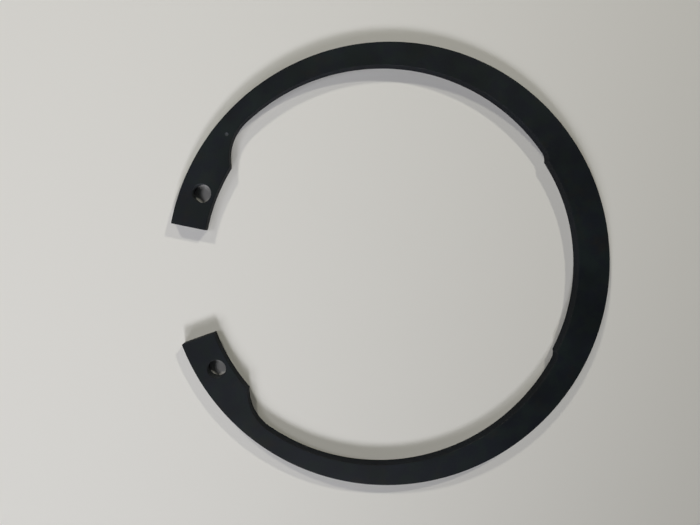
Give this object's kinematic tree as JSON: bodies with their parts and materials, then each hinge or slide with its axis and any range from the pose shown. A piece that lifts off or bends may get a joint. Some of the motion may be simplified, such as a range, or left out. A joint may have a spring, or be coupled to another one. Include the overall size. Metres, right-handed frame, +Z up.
{
  "type": "internal retaining ring",
  "caption": "Flat open spring ring that seats in a groove inside a bore, with a widened, pierced lug on each side of its gap and a raised land at the back.",
  "frame": {"origin": "centre of the ring's outer circle, on the underside that it lies on", "axes": "+Z up out of the flat ring, along the bore that it fits; +X from the centre to the land at the back, so the gap opens towards -X"},
  "size_m": [0.084, 0.0854, 0.0025],
  "materials": {
    "ring": "dry matte black phosphate on stamped spring steel, with a faint blue-green cast and slightly paler cut edges"
  },
  "bodies": {
    "root": {"ring": "ring"}
  },
  "joints": []
}
